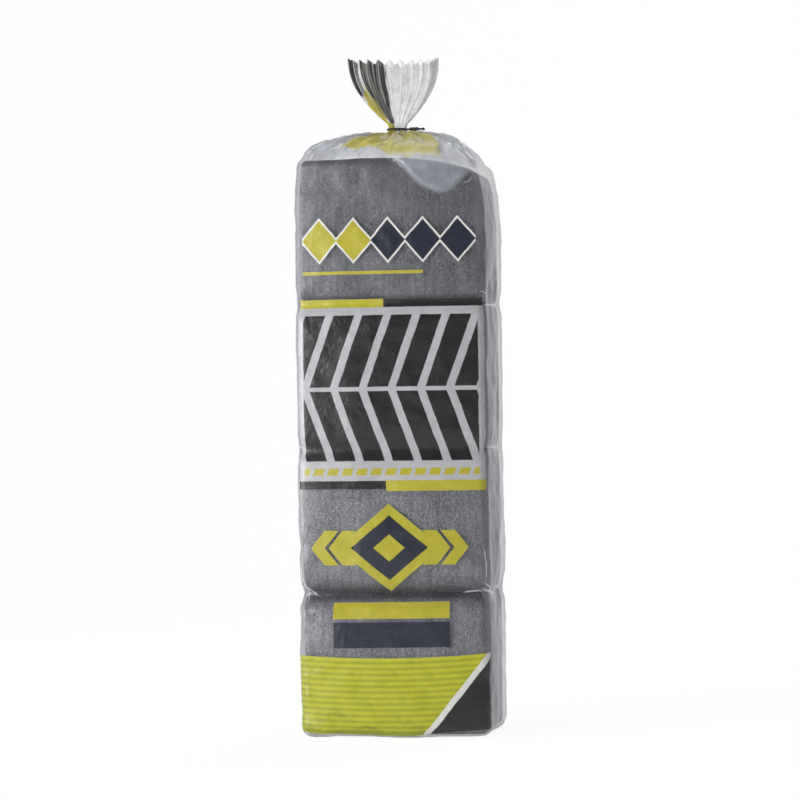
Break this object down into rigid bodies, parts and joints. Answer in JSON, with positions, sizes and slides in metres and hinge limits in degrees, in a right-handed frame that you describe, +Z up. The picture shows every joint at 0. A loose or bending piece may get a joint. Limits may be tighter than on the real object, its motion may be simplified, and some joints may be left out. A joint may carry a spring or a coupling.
{
  "type": "pack of steel wool pads",
  "caption": "Tall pack of wound steel wool pads standing in tiers in a close clear film bag, gathered at the top, closed with a wire tie and fanned out above it.",
  "frame": {"origin": "middle of the base, on the surface that the pack stands on", "axes": "+Z up along the pack, the printed front faces -Y, +X to the right of the front"},
  "size_m": [0.1002, 0.0772, 0.3573],
  "materials": {
    "steel_wool": "fine matted steel fibre",
    "clear_film": "clear, slightly hazy soft film",
    "tie_wire": "thin dark coated wire"
  },
  "bodies": {
    "root": {"film_bag": "clear_film", "neck_tie": "tie_wire", "pad_tier1_row1": "steel_wool", "pad_tier1_row2": "steel_wool", "pad_tier1_row3": "steel_wool", "pad_tier1_row4": "steel_wool", "pad_tier2_row1": "steel_wool", "pad_tier2_row2": "steel_wool", "pad_tier2_row3": "steel_wool", "pad_tier2_row4": "steel_wool", "pad_tier3_row1": "steel_wool", "pad_tier3_row2": "steel_wool", "pad_tier3_row3": "steel_wool", "pad_tier3_row4": "steel_wool", "pad_tier4_row1": "steel_wool", "pad_tier4_row2": "steel_wool", "pad_tier4_row3": "steel_wool", "pad_tier4_row4": "steel_wool"}
  },
  "joints": []
}
